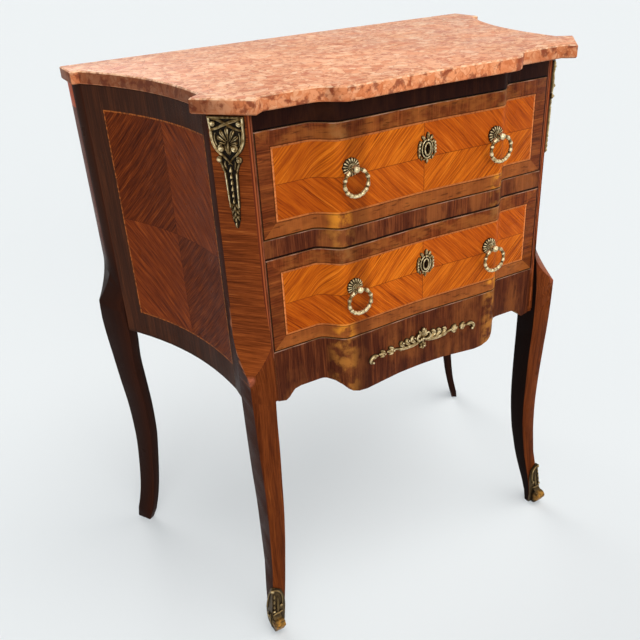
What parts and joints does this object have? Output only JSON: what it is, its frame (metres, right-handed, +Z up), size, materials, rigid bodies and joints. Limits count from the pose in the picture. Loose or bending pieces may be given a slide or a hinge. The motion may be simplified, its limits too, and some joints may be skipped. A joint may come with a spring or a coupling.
{
  "type": "commode chest",
  "caption": "Small Transitional commode in quarter veneer with a shaped pink marble top, drawers with ring pulls, canted corners and cabriole legs with bronze mounts.",
  "frame": {"origin": "on the floor under the middle of the marble top", "axes": "+X to the right seen from the front, +Y to the back, +Z up; the drawers open towards -Y"},
  "size_m": [0.742, 0.4034, 0.8],
  "materials": {
    "marble": "polished",
    "stile": "french polished",
    "side_veneer": "french polished",
    "front_veneer": "french polished",
    "dark_rail": "french polished",
    "oak": "dry, unpolished",
    "bronze": "aged, rubbed",
    "steel": "dull"
  },
  "bodies": {
    "carcass": {"marble_top": "marble", "leg_front_left": "stile", "leg_front_right": "stile", "leg_back_left": "stile", "leg_back_right": "stile", "side_panel_left": "side_veneer", "side_panel_right": "side_veneer", "top_rail_front": "dark_rail", "middle_rail": "dark_rail", "front_apron": "dark_rail", "back_panel": "oak", "top_rail_back": "oak", "bottom_board": "oak", "dust_board": "oak", "runner_upper_left": "oak", "runner_upper_right": "oak", "runner_lower_left": "oak", "runner_lower_right": "oak", "kicker_left": "oak", "kicker_right": "oak", "corner_mount_left": "bronze", "corner_mount_right": "bronze", "apron_mount": "bronze", "sabot_left": "bronze", "sabot_right": "bronze"},
    "ring_upper_left": {"pull_upper_left_ring": "bronze"},
    "ring_upper_right": {"pull_upper_right_ring": "bronze"},
    "drawer_upper": {"drawer_upper_front": "front_veneer", "drawer_upper_side_left": "oak", "drawer_upper_side_right": "oak", "drawer_upper_back": "oak", "drawer_upper_bottom": "oak", "lock_upper_case": "steel", "escutcheon_upper": "bronze", "pull_upper_left_mount": "bronze", "pull_upper_left_nut": "steel", "pull_upper_right_mount": "bronze", "pull_upper_right_nut": "steel"},
    "bolt_upper": {"lock_upper_bolt": "steel"},
    "ring_lower_left": {"pull_lower_left_ring": "bronze"},
    "ring_lower_right": {"pull_lower_right_ring": "bronze"},
    "drawer_lower": {"drawer_lower_front": "front_veneer", "drawer_lower_side_left": "oak", "drawer_lower_side_right": "oak", "drawer_lower_back": "oak", "drawer_lower_bottom": "oak", "lock_lower_case": "steel", "escutcheon_lower": "bronze", "pull_lower_left_mount": "bronze", "pull_lower_left_nut": "steel", "pull_lower_right_mount": "bronze", "pull_lower_right_nut": "steel"},
    "bolt_lower": {"lock_lower_bolt": "steel"}
  },
  "joints": [
    {"name": "drawer_upper_slide", "type": "slide", "parent": "carcass", "child": "drawer_upper", "axis": [0, -1, 0], "range_m": [0, 0.26]},
    {"name": "ring_upper_left_hinge", "type": "hinge", "parent": "drawer_upper", "child": "ring_upper_left", "pos_m": [-0.11, -0.19005, 0.7022], "axis": [-1, 0, 0], "range_deg": [-15, 150]},
    {"name": "ring_upper_right_hinge", "type": "hinge", "parent": "drawer_upper", "child": "ring_upper_right", "pos_m": [0.11, -0.19005, 0.7022], "axis": [-1, 0, 0], "range_deg": [-15, 150]},
    {"name": "bolt_upper_slide", "type": "slide", "parent": "drawer_upper", "child": "bolt_upper", "axis": [0, 0, 1], "range_m": [0, 0.007]},
    {"name": "drawer_lower_slide", "type": "slide", "parent": "carcass", "child": "drawer_lower", "axis": [0, -1, 0], "range_m": [0, 0.26]},
    {"name": "ring_lower_left_hinge", "type": "hinge", "parent": "drawer_lower", "child": "ring_lower_left", "pos_m": [-0.11, -0.19005, 0.5465], "axis": [-1, 0, 0], "range_deg": [-15, 150]},
    {"name": "ring_lower_right_hinge", "type": "hinge", "parent": "drawer_lower", "child": "ring_lower_right", "pos_m": [0.11, -0.19005, 0.5465], "axis": [-1, 0, 0], "range_deg": [-15, 150]},
    {"name": "bolt_lower_slide", "type": "slide", "parent": "drawer_lower", "child": "bolt_lower", "axis": [0, 0, 1], "range_m": [0, 0.007]}
  ]
}
